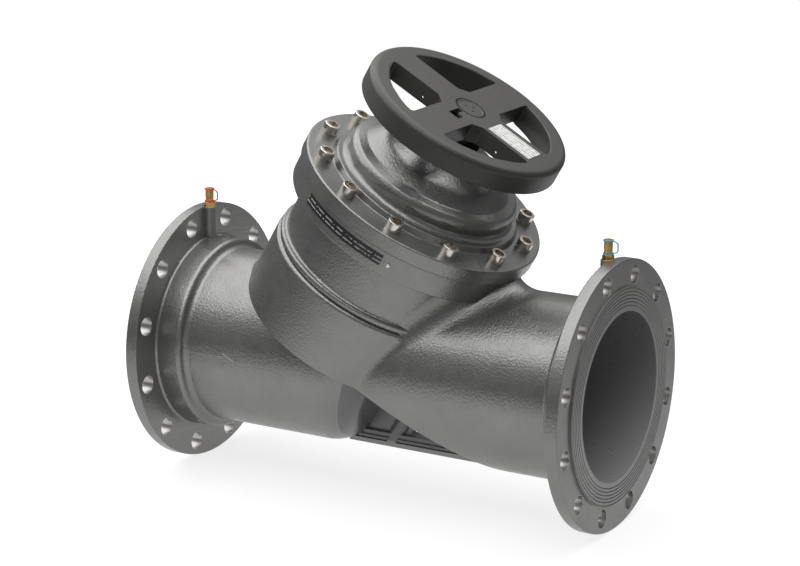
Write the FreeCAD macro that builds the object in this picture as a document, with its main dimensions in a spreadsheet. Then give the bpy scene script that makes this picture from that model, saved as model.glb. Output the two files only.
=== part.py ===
import FreeCAD, Part
import math
import os
import Sketcher

# Balancing valve with an oblique bonnet, flanged at both ends, in millimetres.
# The origin is the centre of the inlet flange's raised face. +X runs along the pipe
# to the outlet and +Z is up. Level means distance along the leaning branch axis.

Vector = FreeCAD.Vector
doc = FreeCAD.newDocument("balancing_valve")

DRIVING_SIZES = [
    ("face_to_face", 730, "raised face to raised face"),
    ("bore_radius", 125, "pipe bore"),
    ("pipe_wall", 9.5, "casting wall round the pipe bore"),
    ("flange_radius", 200, "pipe flange outside"),
    ("flange_thickness", 22, "pipe flange with its raised face"),
    ("raised_face_radius", 160, "raised sealing face"),
    ("raised_face_height", 3, "raised sealing face"),
    ("groove_depth", 0.8, "concentric sealing grooves"),
    ("groove_pitch", 5, "concentric sealing grooves"),
    ("groove_inner_radius", 132, "innermost sealing groove"),
    ("bolt_circle_radius", 177.5, "pipe flange bolts"),
    ("bolt_hole_radius", 14, "pipe flange bolts"),
    ("bolt_hole_count", 12, "pipe flange bolts"),
    ("inlet_hub_radius", 148.5, "thick band behind the inlet flange"),
    ("inlet_hub_end", 63, "thick band behind the inlet flange"),
    ("outlet_hub_radius", 140, "thick band behind the outlet flange"),
    ("outlet_hub_length", 30, "thick band behind the outlet flange"),
    ("branch_x", 254, "where the branch axis crosses the pipe axis"),
    ("branch_lean", 30, "branch axis from vertical, towards the outlet"),
    ("deck_level", 50, "underside of the wall that holds the seat"),
    ("deck_thickness", 14, "wall that holds the seat"),
    ("bulge_radius", 169, "wide lower part of the branch"),
    ("bulge_top_level", 157, "wide lower part of the branch"),
    ("bead_radius", 167, "bead above the bulge"),
    ("bead_height", 10, "bead above the bulge"),
    ("bead_groove", 3, "groove between bulge and bead"),
    ("neck_radius", 160, "branch above the bead"),
    ("body_flange_radius", 186, "branch flange of the body"),
    ("body_flange_thickness", 37, "branch flange of the body"),
    ("joint_level", 285, "underside of the bonnet flange"),
    ("gasket_thickness", 1.5, "bonnet gasket"),
    ("chamber_radius", 148, "chamber above the seat"),
    ("bowl_end", 460, "length of the bar that the inlet side is cut from"),
    ("bowl_reach", 108, "far wall of the inlet passage from the branch axis"),
    ("bowl_corner", 60, "rounding at the far wall of the inlet passage"),
    ("crotch_fillet", 44, "branch neck into the top of the outlet pipe"),
    ("saddle_fillet", 8, "branch neck into the underside of the outlet pipe"),
    ("bulge_fillet", 20, "branch bulge into both pipes"),
    ("bulge_blend_end", 560, "pipe length used for the bulge blend"),
    ("web_thickness", 12, "tie web under the body"),
    ("web_bottom", -134.5, "underside of the rail"),
    ("rail_groove", 3, "long grooves in the sides of the rail"),
    ("rail_width", 26, "rail along the bottom of the web"),
    ("rail_height", 21, "rail along the bottom of the web"),
    ("strut_radius", 14, "round strut in the web"),
    ("strut_reach", 152, "round strut from the branch axis"),
    ("boss_radius", 11, "test point boss"),
    ("inlet_boss_top", 197.3, "test point boss"),
    ("outlet_boss_top", 199.6, "test point boss"),
    ("boss_stand_off", 2.4, "boss axis behind the flange's back face"),
    ("arrow_height", 3, "cast flow arrow"),
    ("bonnet_flange_radius", 190, "bonnet flange"),
    ("bonnet_flange_thickness", 22.7, "bonnet flange"),
    ("screw_circle_radius", 166, "bonnet screws"),
    ("screw_count", 12, "bonnet screws"),
    ("screw_radius", 8, "bonnet screw shank"),
    ("screw_head_radius", 12, "bonnet screw head"),
    ("screw_head_height", 16, "bonnet screw head"),
    ("screw_length", 55, "bonnet screw under its head"),
    ("hex_across", 14, "hexagon socket"),
    ("seat_bore_radius", 90, "seat ring"),
    ("seat_spigot_radius", 97, "seat ring in the deck"),
    ("seat_flange_radius", 110, "seat ring on the deck"),
    ("seat_flange_height", 6, "seat ring on the deck"),
    ("seal_thickness", 8, "disc seal"),
    ("disc_radius", 112, "throttle disc"),
    ("hub_radius", 40, "disc hub"),
    ("hub_top_level", 215, "disc hub when closed"),
    ("stem_radius", 18, "threaded part of the stem"),
    ("stem_top_radius", 16, "stem above its collar"),
    ("stem_square", 22, "square end of the stem"),
    ("collar_level", 365, "stem collar"),
    ("collar_radius", 28, "stem collar"),
    ("collar_height", 8, "stem collar"),
    ("thrust_washer", 3, "thrust washers"),
    ("neck_top_level", 398, "top of the bonnet neck"),
    ("bonnet_neck_radius", 42, "bonnet neck"),
    ("gland_radius", 30, "gland in the bonnet neck"),
    ("gland_flange", 12, "gland above the neck"),
    ("key_width", 10, "guide key"),
    ("stem_top_level", 440, "top of the stem's square"),
    ("ring_section", 4, "stem seal rings"),
    ("retainer_circle_radius", 62, "screws under the disc"),
    ("retainer_screw_count", 6, "screws under the disc"),
    ("small_screw_radius", 4, "screws under the disc"),
    ("small_head_radius", 6.5, "screws under the disc"),
    ("small_head_height", 8, "screws under the disc"),
    ("small_hex_across", 6, "screws under the disc"),
    ("wheel_screw_radius", 5, "screw that holds the handwheel"),
    ("wheel_hub_radius", 19, "handwheel hub on the square"),
    ("dial_radius", 44, "dials under the handwheel plate"),
    ("dial_level", 434, "dials under the handwheel plate"),
    ("washer_thickness", 1.2, "seal under a test nipple"),
    ("washer_radius", 9.2, "seal under a test nipple"),
    ("spot_face_depth", 4, "flat cut round a test nipple"),
    ("wheel_radius", 157, "handwheel"),
    ("wheel_top_level", 458, "handwheel top face"),
    ("wheel_bottom_level", 421, "handwheel skirt"),
    ("wheel_plate", 5, "handwheel top plate"),
    ("wheel_wall", 4, "handwheel walls"),
    ("rim_inner_radius", 130, "outer side of the handwheel windows"),
    ("spoke_half_width", 28, "handwheel spokes"),
    ("wheel_centre_radius", 50, "middle of the handwheel"),
    ("cap_radius", 24, "handwheel cap"),
    ("wire_hole_radius", 2, "holes for the sealing wire in one pair of spokes"),
    ("wire_hole_level", 438, "holes for the sealing wire in one pair of spokes"),
    ("plate_start", -119, "nameplate, angle round the branch"),
    ("plate_end", -72.2, "nameplate, angle round the branch"),
    ("plate_bottom_level", 259.8, "nameplate"),
    ("plate_height", 16, "nameplate"),
    ("plate_thickness", 0.8, "nameplate and handwheel label"),
    ("rivet_angle", -68.5, "rivet beside the nameplate, angle round the branch"),
    ("rivet_level", 266, "rivet beside the nameplate"),
    ("rivet_radius", 1.9, "shank of the rivet beside the nameplate"),
    ("rivet_length", 8, "shank of the rivet beside the nameplate"),
    ("nipple_thread_radius", 4, "test point nipple in its boss"),
    ("nipple_thread_depth", 14, "test point nipple in its boss"),
    ("nipple_radius", 6.6, "test point nipple"),
    ("cap_height", 13, "test point cap"),
    ("nipple_height", 17, "test point nipple above its boss"),
    ("running_gap", 0.05, "radial gap of turning and sliding fits"),
    ("joint_gap", 0.3, "gap between castings that locate each other"),
]


class Size:
    """A size with its number and the sheet expression that it comes from."""

    def __init__(self, number, text):
        self.number = float(number)
        self.text = text

    def __add__(self, other):
        other = as_size(other)
        return Size(self.number + other.number, f"({self.text} + {other.text})")

    def __radd__(self, other):
        return as_size(other) + self

    def __sub__(self, other):
        other = as_size(other)
        return Size(self.number - other.number, f"({self.text} - {other.text})")

    def __rsub__(self, other):
        return as_size(other) - self

    def __mul__(self, other):
        other = as_size(other)
        return Size(self.number * other.number, f"({self.text} * {other.text})")

    def __rmul__(self, other):
        return as_size(other) * self

    def __truediv__(self, other):
        other = as_size(other)
        return Size(self.number / other.number, f"({self.text} / {other.text})")

    def __neg__(self):
        return Size(-self.number, f"(-1 * {self.text})")


def as_size(value):
    if isinstance(value, Size):
        return value
    return Size(value, f"({float(value)})")


def sine(angle):
    return Size(math.sin(math.radians(angle.number)), f"sin({angle.text} * 1 deg)")


def cosine(angle):
    return Size(math.cos(math.radians(angle.number)), f"cos({angle.text} * 1 deg)")


class SizeSheet:
    """The spreadsheet of driving sizes. Each alias is also an attribute."""

    def __init__(self, rows):
        sheet = doc.addObject("Spreadsheet::Sheet", "Sizes")
        for row, (alias, number, words) in enumerate(rows, start=1):
            sheet.set(f"A{row}", words)
            sheet.set(f"B{row}", str(number))
            sheet.setAlias(f"B{row}", alias)
            setattr(self, alias, Size(number, f"Sizes.{alias}"))


S = SizeSheet(DRIVING_SIZES)
doc.recompute()

ZERO = as_size(0)
PIPE_RADIUS = S.bore_radius + S.pipe_wall
DECK_TOP = S.deck_level + S.deck_thickness
SEAT_FACE = DECK_TOP + S.seat_flange_height
BODY_TOP = S.joint_level - S.gasket_thickness
BONNET_TOP = S.joint_level + S.bonnet_flange_thickness


def bind(item, path, size):
    """Ties one property of an object to the sheet."""
    item.setExpression(path, size.text)


def along_branch(item):
    """Puts an object that is drawn about +Z onto the branch axis."""
    lean = FreeCAD.Rotation(Vector(0, 1, 0), S.branch_lean.number)
    item.Placement = FreeCAD.Placement(Vector(S.branch_x.number, 0, 0), lean)
    bind(item, "Placement.Base.x", S.branch_x)
    bind(item, "Placement.Rotation.Angle", S.branch_lean)
    return item


def origin_plane(body, role):
    return [item for item in body.Origin.OriginFeatures if item.Role == role][0]


def rounded_corner(before, here, after, radius):
    """Entry point, exit point and centre of the arc that rounds a corner."""
    if radius == 0:
        return here, here, None
    to_before = (before - here).normalize()
    to_after = (after - here).normalize()
    half = to_before.getAngle(to_after) / 2
    reach = radius / math.tan(half)
    middle = (to_before + to_after).normalize()
    centre = here + middle * (radius / math.sin(half))
    return here + to_before * reach, here + to_after * reach, centre


def fix_point(sketch, item, x, y):
    for kind, size in (("DistanceX", x), ("DistanceY", y)):
        constraint = Sketcher.Constraint(kind, -1, 1, item, 1, size.number)
        index = sketch.addConstraint(constraint)
        if "Sizes" in size.text:
            bind(sketch, f"Constraints[{index}]", size)


def draw_outline(sketch, corners):
    """Closed outline. A corner is (x, y) or (x, y, rounding)."""
    corners = [tuple(as_size(value) for value in corner) for corner in corners]
    points = [Vector(corner[0].number, corner[1].number, 0) for corner in corners]
    count = len(corners)
    bends = []
    for i, corner in enumerate(corners):
        radius = corner[2].number if len(corner) > 2 else 0
        bends.append(rounded_corner(points[i - 1], points[i], points[(i + 1) % count], radius))
    lines = []
    for i in range(count):
        segment = Part.LineSegment(bends[i][1], bends[(i + 1) % count][0])
        lines.append(sketch.addGeometry(segment))
    for i, corner in enumerate(corners):
        entry, leave, centre = bends[i]
        incoming, outgoing = lines[i - 1], lines[i]
        mark = sketch.addGeometry(Part.Point(points[i]), True)
        fix_point(sketch, mark, corner[0], corner[1])
        if centre is None:
            sketch.addConstraint(Sketcher.Constraint("Coincident", incoming, 2, mark, 1))
            sketch.addConstraint(Sketcher.Constraint("Coincident", outgoing, 1, mark, 1))
            continue
        turn = (points[i] - points[i - 1]).cross(points[(i + 1) % count] - points[i]).z
        first, last = (entry, leave) if turn > 0 else (leave, entry)
        circle = Part.Circle(centre, Vector(0, 0, 1), corner[2].number)
        arc = Part.ArcOfCircle(circle, circle.parameter(first), circle.parameter(last))
        bend = sketch.addGeometry(arc)
        entry_end, leave_end = (1, 2) if turn > 0 else (2, 1)
        sketch.addConstraint(Sketcher.Constraint("PointOnObject", mark, 1, incoming))
        sketch.addConstraint(Sketcher.Constraint("PointOnObject", mark, 1, outgoing))
        sketch.addConstraint(Sketcher.Constraint("Tangent", incoming, 2, bend, entry_end))
        sketch.addConstraint(Sketcher.Constraint("Tangent", bend, leave_end, outgoing, 1))
        index = sketch.addConstraint(Sketcher.Constraint("Radius", bend, corner[2].number))
        if "Sizes" in corner[2].text:
            bind(sketch, f"Constraints[{index}]", corner[2])


def new_body(label):
    body = doc.addObject("PartDesign::Body", label)
    body.Label = label
    return body


def sketch_on(body, name, plane, corners):
    """Sketch on a plane of the body's own origin."""
    sketch = body.newObject("Sketcher::SketchObject", name)
    sketch.AttachmentSupport = [(origin_plane(body, plane), "")]
    sketch.MapMode = "FlatFace"
    draw_outline(sketch, corners)
    return sketch


def revolve(body, name, corners, axis="V_Axis", kind="PartDesign::Revolution"):
    """Turned form: corners are (radius, level) about V_Axis, (x, radius) about H_Axis."""
    sketch = sketch_on(body, name + "_outline", "XZ_Plane", corners)
    form = body.newObject(kind, name)
    form.Profile = sketch
    form.ReferenceAxis = (sketch, [axis])
    form.Angle = 360
    doc.recompute()
    return form


def turned(label, corners, axis="V_Axis"):
    body = new_body(label)
    revolve(body, label + "_turned", corners, axis)
    return body


def extrude(body, name, plane, corners, low, high, kind="PartDesign::Pad"):
    """Pad or pocket between two heights along the plane's own normal."""
    sketch = sketch_on(body, name + "_outline", plane, corners)
    sketch.AttachmentOffset.Base = Vector(0, 0, low.number)
    bind(sketch, "AttachmentOffset.Base.z", low)
    form = body.newObject(kind, name)
    form.Profile = sketch
    form.Length = (high - low).number
    bind(form, "Length", high - low)
    form.Reversed = kind == "PartDesign::Pocket"
    doc.recompute()
    return form


def drill(body, name, plane, centre, radius, low, high):
    """Round hole between two heights along the plane's own normal."""
    sketch = body.newObject("Sketcher::SketchObject", name + "_outline")
    sketch.AttachmentSupport = [(origin_plane(body, plane), "")]
    sketch.MapMode = "FlatFace"
    sketch.AttachmentOffset.Base = Vector(0, 0, low.number)
    bind(sketch, "AttachmentOffset.Base.z", low)
    x, y = (as_size(value) for value in centre)
    circle = Part.Circle(Vector(x.number, y.number, 0), Vector(0, 0, 1), radius.number)
    ring = sketch.addGeometry(circle)
    for kind, size in (("DistanceX", x), ("DistanceY", y)):
        index = sketch.addConstraint(Sketcher.Constraint(kind, -1, 1, ring, 3, size.number))
        if "Sizes" in size.text:
            bind(sketch, f"Constraints[{index}]", size)
    index = sketch.addConstraint(Sketcher.Constraint("Radius", ring, radius.number))
    bind(sketch, f"Constraints[{index}]", radius)
    hole = body.newObject("PartDesign::Pocket", name)
    hole.Profile = sketch
    hole.Length = (high - low).number
    bind(hole, "Length", high - low)
    hole.Reversed = True
    doc.recompute()
    return hole


def repeat_round(body, name, features, count, axis_role="Z_Axis"):
    """Polar pattern of features about an axis of the body."""
    pattern = body.newObject("PartDesign::PolarPattern", name)
    pattern.Originals = features
    pattern.Axis = (origin_plane(body, axis_role), [""])
    pattern.Angle = 360
    pattern.Occurrences = int(count.number)
    bind(pattern, "Occurrences", count)
    body.Tip = pattern
    doc.recompute()
    return pattern


def fuse(label, pieces):
    result = doc.addObject("Part::MultiFuse", label)
    result.Shapes = pieces
    result.Refine = False
    doc.recompute()
    return result


def cut(label, base, tool):
    result = doc.addObject("Part::Cut", label)
    result.Base = base
    result.Tool = tool
    doc.recompute()
    return result


def common(label, first, second):
    result = doc.addObject("Part::MultiCommon", label)
    result.Shapes = [first, second]
    doc.recompute()
    return result


def cylinder(label, radius, low, high):
    """Cylinder about +Z between two heights."""
    item = doc.addObject("Part::Cylinder", label)
    bind(item, "Radius", radius)
    bind(item, "Height", high - low)
    item.Placement.Base.z = low.number
    bind(item, "Placement.Base.z", low)
    return item


def branch_cylinder(label, radius, low, high):
    """Cylinder about the branch axis between two levels."""
    item = along_branch(doc.addObject("Part::Cylinder", label))
    bind(item, "Radius", radius)
    bind(item, "Height", high - low)
    bind(item, "Placement.Base.x", S.branch_x + low * sine(S.branch_lean))
    bind(item, "Placement.Base.z", low * cosine(S.branch_lean))
    doc.recompute()
    return item


def tilted(item, turn):
    """Branch position with a further turn about the branch axis."""
    along_branch(item)
    item.setExpression("Placement.Rotation.Angle", None)
    turned_by = FreeCAD.Rotation(Vector(0, 0, 1), turn.number)
    item.Placement.Rotation = item.Placement.Rotation.multiply(turned_by)
    return item


def many(body):
    """Lets one body hold a group of separate solids."""
    body.AllowCompound = True
    return body


def round_tools(label, centre, radius, low, high, count):
    """Group of round drilling tools on a circle about +Z."""
    body = many(new_body(label))
    sketch = body.newObject("Sketcher::SketchObject", label + "_outline")
    sketch.AttachmentSupport = [(origin_plane(body, "XY_Plane"), "")]
    sketch.MapMode = "FlatFace"
    sketch.AttachmentOffset.Base = Vector(0, 0, low.number)
    bind(sketch, "AttachmentOffset.Base.z", low)
    ring = sketch.addGeometry(Part.Circle(Vector(centre.number, 0, 0), Vector(0, 0, 1), radius.number))
    for constraint, size in (
        (Sketcher.Constraint("DistanceX", -1, 1, ring, 3, centre.number), centre),
        (Sketcher.Constraint("Radius", ring, radius.number), radius),
    ):
        index = sketch.addConstraint(constraint)
        if "Sizes" in size.text:
            bind(sketch, f"Constraints[{index}]", size)
    sketch.addConstraint(Sketcher.Constraint("PointOnObject", ring, 3, -1))
    pad = body.newObject("PartDesign::Pad", label + "_pad")
    pad.Profile = sketch
    pad.Length = (high - low).number
    bind(pad, "Length", high - low)
    doc.recompute()
    repeat_round(body, label + "_circle", [pad], count)
    return body


def shared_edges(shape, first_radius, second_radius):
    """Numbers of the edges between two cylinders, told by their radii."""
    found = []
    for number, edge in enumerate(shape.Edges, start=1):
        radii = []
        for face in shape.ancestorsOfType(edge, Part.Face):
            if isinstance(face.Surface, Part.Cylinder):
                radii.append(face.Surface.Radius)
        wanted = sorted([first_radius.number, second_radius.number])
        if len(radii) == 2 and all(abs(a - b) < 0.001 for a, b in zip(sorted(radii), wanted)):
            found.append(number)
    return found


def fillet(label, base, edges, radius):
    item = doc.addObject("Part::Fillet", label)
    item.Base = base
    item.Edges = [(number, radius.number, radius.number) for number in edges]
    doc.recompute()
    return item


def face_grooves(face_x, inward):
    """Corners of the concentric grooves in a raised face, inner groove first."""
    corners = []
    for ring in range(6):
        start = S.groove_inner_radius + S.groove_pitch * ring
        corners.append((face_x, start))
        corners.append((face_x + S.groove_depth * inward, start + 1))
        corners.append((face_x, start + 2))
    return corners


def inlet_outside():
    """Inlet flange, hub and pipe as one solid bar."""
    back = S.flange_thickness
    corners = [(0, 0)] + face_grooves(ZERO, 1) + [
        (0, S.raised_face_radius),
        (S.raised_face_height, S.raised_face_radius),
        (S.raised_face_height, S.flange_radius, 1.5),
        (back, S.flange_radius, 1.5),
        (back, S.inlet_hub_radius, 4),
        (S.inlet_hub_end, S.inlet_hub_radius, 6),
        (S.inlet_hub_end + 4, PIPE_RADIUS, 8),
        (S.bowl_end, PIPE_RADIUS),
        (S.bowl_end, 0),
    ]
    return turned("inlet_outside", corners, "H_Axis")


def outlet_outside():
    """Outlet pipe, hub and flange as one solid bar."""
    face = S.face_to_face
    back = face - S.flange_thickness
    grooves = face_grooves(face, -1)
    corners = [
        (S.branch_x, 0),
        (S.branch_x, PIPE_RADIUS),
        (back - S.outlet_hub_length - 3, PIPE_RADIUS, 4),
        (back - S.outlet_hub_length, S.outlet_hub_radius, 3),
        (back, S.outlet_hub_radius, 4),
        (back, S.flange_radius, 1.5),
        (face - S.raised_face_height, S.flange_radius, 1.5),
        (face - S.raised_face_height, S.raised_face_radius),
        (face, S.raised_face_radius),
    ] + grooves[::-1] + [(face, 0)]
    return turned("outlet_outside", corners, "H_Axis")


def branch_outside():
    """Bulge, bead, neck and branch flange as one solid bar."""
    bead_low = S.bulge_top_level + S.bead_groove
    bead_high = S.bulge_top_level + S.bead_groove + S.bead_height - 2
    groove_radius = S.bead_radius - 5
    flange_low = BODY_TOP - S.body_flange_thickness
    body = turned("branch_outside", [
        (0, S.deck_level),
        (S.bulge_radius, S.deck_level, 8),
        (S.bulge_radius, S.bulge_top_level, 6),
        (groove_radius, S.bulge_top_level + 0.5, 1),
        (groove_radius, bead_low - 0.5, 1),
        (S.bead_radius, bead_low, 3),
        (S.bead_radius, bead_high, 3.5),
        (S.neck_radius, bead_high + 1, 3),
        (S.neck_radius, flange_low, 7),
        (S.body_flange_radius, flange_low, 2.5),
        (S.body_flange_radius, BODY_TOP, 1),
        (0, BODY_TOP),
    ])
    return along_branch(body)


def passage(label, bar, wall_reach, corner, top):
    """Bar along the inlet pipe, ended by a rounded wall that leans like the branch."""
    far = S.face_to_face * 1.5
    block = along_branch(doc.addObject("Part::Box", label + "_block"))
    for side in ("Length", "Width", "Height"):
        bind(block, side, far)
    corner_reach = wall_reach - far
    corner_level = top - far
    lean_sine = sine(S.branch_lean)
    lean_cosine = cosine(S.branch_lean)
    bind(block, "Placement.Base.x",
         S.branch_x + corner_reach * lean_cosine + corner_level * lean_sine)
    bind(block, "Placement.Base.y", far * -0.5)
    bind(block, "Placement.Base.z", corner_level * lean_cosine - corner_reach * lean_sine)
    ended = common(label + "_ended", bar, block)
    wall_normal = block.Placement.Rotation.multVec(Vector(1, 0, 0))
    edges = []
    for number, edge in enumerate(ended.Shape.Edges, start=1):
        faces = ended.Shape.ancestorsOfType(edge, Part.Face)
        flat = [face for face in faces if isinstance(face.Surface, Part.Plane)]
        if len(flat) == 1 and flat[0].normalAt(0, 0).dot(wall_normal) > 0.999:
            edges.append(number)
    return fillet(label, ended, edges, corner)


def deck_space(label, level):
    """Everything above one level of the branch axis."""
    far = S.face_to_face
    return branch_cylinder(label, far, level, level + far)


def blended_bar(label, bar_radius, low, high, pipe, top_radius, low_radius):
    """Bar along the branch, blended into a pipe. The blend may widen towards the top."""
    bar = branch_cylinder(label + "_bar", bar_radius, low, high)
    raw = fuse(label + "_raw", [bar, pipe])
    item = doc.addObject("Part::Fillet", label + "_blend")
    item.Base = raw
    edges = []
    for number in shared_edges(raw.Shape, bar_radius, PIPE_RADIUS):
        ends = raw.Shape.Edges[number - 1].Vertexes
        upwards = ends[-1].Point.z > ends[0].Point.z
        radii = (low_radius, top_radius) if upwards else (top_radius, low_radius)
        edges.append((number, radii[0].number, radii[1].number))
    item.Edges = edges
    doc.recompute()
    return item


def above(label, level, item):
    return common(label, item, deck_space(label + "_space", level))


def tie_web():
    """Web, rail and round strut between the bowl and the oblique outlet wall."""
    plate = new_body("web_plate")
    half = S.web_thickness / 2
    rail_top = S.web_bottom + S.rail_height
    slope = sine(S.branch_lean) / cosine(S.branch_lean)
    deck_x = S.branch_x + (S.deck_level + 4) / sine(S.branch_lean)
    right_x = deck_x - (S.web_bottom + 5) / slope
    left_x = S.branch_x + S.bowl_reach - 25
    deck_z = (deck_x - left_x) * slope
    extrude(plate, "web_sheet", "XZ_Plane", [
        (left_x - 40, S.web_bottom + 5),
        (right_x, S.web_bottom + 5),
        (left_x, deck_z),
    ], -half, half)
    rail = new_body("web_rail")
    rail_end = deck_x - (S.web_bottom - 8) / slope
    rail_half = S.rail_width / 2
    dip = S.rail_groove
    extrude(rail, "rail_bar", "YZ_Plane", [
        (-rail_half, S.web_bottom),
        (rail_half, S.web_bottom),
        (rail_half, S.web_bottom + 7),
        (rail_half - dip, S.web_bottom + 8),
        (rail_half - dip, S.web_bottom + 10),
        (rail_half, S.web_bottom + 11),
        (rail_half, S.web_bottom + 13),
        (rail_half - dip, S.web_bottom + 14),
        (rail_half - dip, S.web_bottom + 16),
        (rail_half, S.web_bottom + 17),
        (rail_half, rail_top),
        (-rail_half, rail_top),
        (-rail_half, S.web_bottom + 17),
        (dip - rail_half, S.web_bottom + 16),
        (dip - rail_half, S.web_bottom + 14),
        (-rail_half, S.web_bottom + 13),
        (-rail_half, S.web_bottom + 11),
        (dip - rail_half, S.web_bottom + 10),
        (dip - rail_half, S.web_bottom + 8),
        (-rail_half, S.web_bottom + 7),
    ], S.branch_x + 30, rail_end)
    strut = branch_cylinder("web_strut_upright", S.strut_radius, ZERO - 62, S.deck_level + 5)
    reach = S.strut_reach
    bind(strut, "Placement.Base.x",
         S.branch_x + (ZERO - 62) * sine(S.branch_lean) + reach * cosine(S.branch_lean))
    bind(strut, "Placement.Base.z",
         (ZERO - 62) * cosine(S.branch_lean) - reach * sine(S.branch_lean))
    window = new_body("web_window")
    corner = 8
    window_left = S.strut_reach + 16
    window_low = rail_top
    window_high = S.deck_level - 6
    # The window is drawn as reach and level, then turned onto the branch axis
    low_left = (window_low + window_left * sine(S.branch_lean)) / cosine(S.branch_lean)
    right = (window_high * cosine(S.branch_lean) - window_low) / sine(S.branch_lean)
    extrude(window, "window_opening", "XZ_Plane", [
        (window_left, low_left, corner),
        (right, window_high, corner),
        (window_left, window_high, corner),
    ], -S.rail_width, S.rail_width)
    along_branch(window)
    doc.recompute()
    frame = fuse("web_frame", [plate, rail, strut])
    return cut("web_with_window", frame, window)


def boss(label, x, top):
    """Upright test point boss, half sunk into the flange back."""
    item = cylinder(label, S.boss_radius, PIPE_RADIUS - 4, top)
    bind(item, "Placement.Base.x", x)
    return item


def flow_arrow():
    """Raised arrow on the side of the inlet pipe."""
    arrow = new_body("flow_arrow")
    outline = [
        (84, -5.5), (136, -5.5), (136, -11), (159, 0), (136, 11), (136, 5.5), (84, 5.5)]
    extrude(arrow, "arrow_plate", "XZ_Plane", outline, PIPE_RADIUS - 20, PIPE_RADIUS + 20)
    shell = doc.addObject("Part::Cylinder", "arrow_skin")
    bind(shell, "Radius", PIPE_RADIUS + S.arrow_height)
    bind(shell, "Height", S.branch_x)
    shell.Placement.Rotation = FreeCAD.Rotation(Vector(0, 1, 0), 90)
    doc.recompute()
    return common("arrow_on_pipe", arrow, shell)


def pipe_cylinder(label, radius, start, end):
    """Cylinder about the pipe axis."""
    item = doc.addObject("Part::Cylinder", label)
    bind(item, "Radius", radius)
    bind(item, "Height", end - start)
    item.Placement.Rotation = FreeCAD.Rotation(Vector(0, 1, 0), 90)
    bind(item, "Placement.Base.x", start)
    doc.recompute()
    return item


def flange_holes(label, start, end):
    """Drilling tools for one pipe flange, straddling the centre line."""
    tools = round_tools(label, S.bolt_circle_radius, S.bolt_hole_radius, ZERO, end - start, S.bolt_hole_count)
    half_step = FreeCAD.Rotation(Vector(0, 0, 1), 180 / S.bolt_hole_count.number)
    tools.Placement.Rotation = FreeCAD.Rotation(Vector(0, 1, 0), 90).multiply(half_step)
    bind(tools, "Placement.Base.x", start)
    doc.recompute()
    return tools


def valve_body():
    """The casting: two flanged pipes, bowl, deck, branch, web and bosses."""
    neck_side = blended_bar("neck_side", S.neck_radius, -S.neck_radius * 2, BODY_TOP + 100,
                            outlet_outside(), S.crotch_fillet, S.saddle_fillet)
    bulge_side = blended_bar("bulge_side", S.bulge_radius, -S.bulge_radius * 2, BODY_TOP + 100,
                             pipe_cylinder("bulge_pipe", PIPE_RADIUS, ZERO - 100, S.bulge_blend_end),
                             S.bulge_fillet, S.bulge_fillet)
    spare = fuse("outlet_spare", [
        branch_cylinder("neck_spare", S.neck_radius + S.crotch_fillet, BODY_TOP, BODY_TOP + 200),
        branch_cylinder("bowl_spare", S.bulge_radius - 20, ZERO - 200, S.deck_level + 20),
    ])
    neck_trimmed = cut("neck_side_trimmed", above("neck_side_above", S.deck_level, neck_side), spare)
    bulge_limit = branch_cylinder("bulge_space", S.face_to_face, S.deck_level, S.bulge_top_level - 6)
    bulge_trimmed = cut("bulge_side_trimmed", common("bulge_side_limited", bulge_side, bulge_limit),
                        spare)
    wall = S.pipe_wall
    inlet_leg = passage("inlet_leg", inlet_outside(), S.bowl_reach, S.bowl_corner, S.deck_level + 10)
    inlet_bar = pipe_cylinder("inlet_bore", S.bore_radius, ZERO - 1, S.bowl_end)
    inlet_room = passage("inlet_room", inlet_bar, S.bowl_reach - wall, S.bowl_corner - wall,
                         S.deck_level)
    outlet_back = S.face_to_face - S.flange_thickness
    upper = fuse("outside_upper", [neck_trimmed, bulge_trimmed, branch_outside()])
    joined = fuse("outside_joined", [upper, inlet_leg])
    outside = fuse("valve_outside", [
        joined, tie_web(),
        boss("inlet_boss", S.flange_thickness + S.boss_stand_off, S.inlet_boss_top),
        boss("outlet_boss", outlet_back - S.boss_stand_off, S.outlet_boss_top),
        flow_arrow(),
    ])
    outlet_room = above("outlet_room", DECK_TOP,
                        pipe_cylinder("outlet_bore", S.bore_radius, S.branch_x, S.face_to_face + 1))
    chamber = branch_cylinder("chamber_room", S.chamber_radius, DECK_TOP, BODY_TOP + 1)
    seat_hole = branch_cylinder("seat_hole", S.seat_spigot_radius, S.deck_level - 5, DECK_TOP + 1)
    screw_holes = round_tools("screw_hole_tools", S.screw_circle_radius, S.screw_radius + 0.05,
                              BODY_TOP - S.screw_length + 18, BODY_TOP + 1, S.screw_count)
    tilted(screw_holes, as_size(180) / S.screw_count)
    doc.recompute()
    upper_rooms = fuse("upper_rooms", [outlet_room, chamber, seat_hole])
    tools = fuse("valve_holes", [
        screw_holes,
        flange_holes("inlet_flange_holes", ZERO - 1, S.flange_thickness + 1),
        flange_holes("outlet_flange_holes", outlet_back - 1, S.face_to_face + 1),
        test_bore("inlet_test_bore", S.flange_thickness + S.boss_stand_off, S.inlet_boss_top),
        test_bore("outlet_test_bore", outlet_back - S.boss_stand_off, S.outlet_boss_top),
        on_rim(cylinder("rivet_hole", S.rivet_radius + S.running_gap, ZERO, S.rivet_length + 4),
               S.rivet_angle, S.body_flange_radius - S.rivet_length - 0.5, S.rivet_level),
    ])
    hollow = cut("valve_hollow", outside, upper_rooms)
    drilled = cut("valve_drilled", hollow, tools)
    return cut("valve_body", drilled, inlet_room)


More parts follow.
